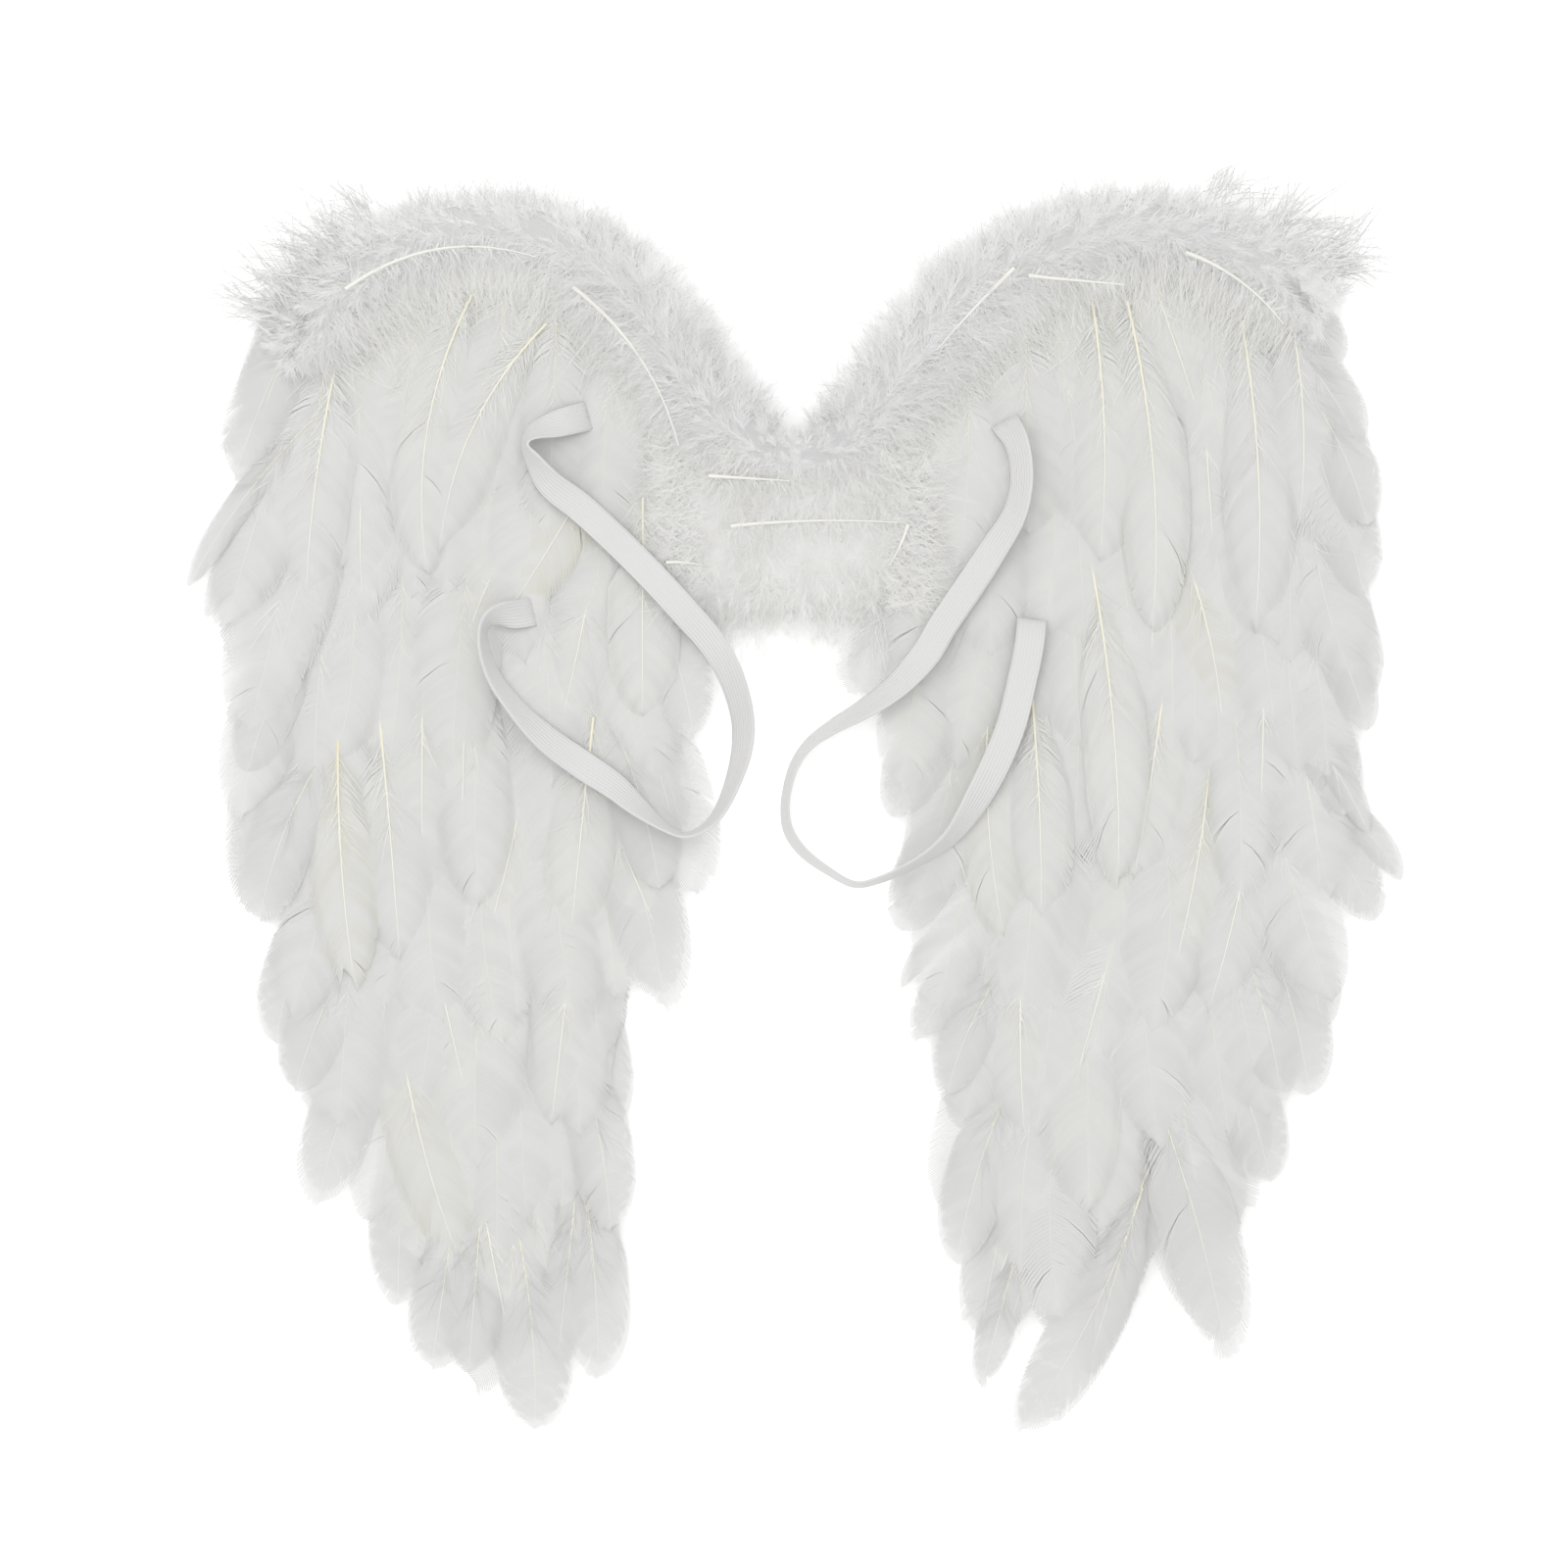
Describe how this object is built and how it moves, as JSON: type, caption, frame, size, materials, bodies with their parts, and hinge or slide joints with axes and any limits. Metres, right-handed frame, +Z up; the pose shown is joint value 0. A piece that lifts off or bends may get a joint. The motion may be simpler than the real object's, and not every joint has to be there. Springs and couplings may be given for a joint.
{
  "type": "angel wings costume accessory",
  "caption": "Pair of white feather costume wings on a downy bridge, with layered rows of feathers, marabou along the top edge and two elastic shoulder straps, lying flat",
  "frame": {"origin": "on the surface that the wings lie on, under the middle of their bounding box", "axes": "+X runs across the span to the right as the strap side is seen, +Y runs from the feather tips up to the down trim, +Z points up, away from the surface, on the strap side"},
  "size_m": [0.4964, 0.5136, 0.0334],
  "materials": {
    "white_feather": "soft matte vanes with a faint sheen on the quills",
    "white_down": "fluffy and matte",
    "white_elastic": "flat braided elastic, matte with a slight sheen"
  },
  "bodies": {
    "root": {"left_feather_row_1": "white_feather", "left_feather_row_2": "white_feather", "left_feather_row_3": "white_feather", "left_feather_row_4": "white_feather", "left_feather_row_5": "white_feather", "left_feather_row_6": "white_feather", "left_feather_row_7": "white_feather", "left_feather_row_8": "white_feather", "right_feather_row_1": "white_feather", "right_feather_row_2": "white_feather", "right_feather_row_3": "white_feather", "right_feather_row_4": "white_feather", "right_feather_row_5": "white_feather", "right_feather_row_6": "white_feather", "right_feather_row_7": "white_feather", "right_feather_row_8": "white_feather", "left_show_row_1": "white_feather", "left_show_row_2": "white_feather", "left_show_row_3": "white_feather", "left_show_row_4": "white_feather", "right_show_row_1": "white_feather", "right_show_row_2": "white_feather", "right_show_row_3": "white_feather", "right_show_row_4": "white_feather", "left_down_trim": "white_down", "right_down_trim": "white_down", "center_bridge": "white_down", "left_strap": "white_elastic", "right_strap": "white_elastic"}
  },
  "joints": []
}
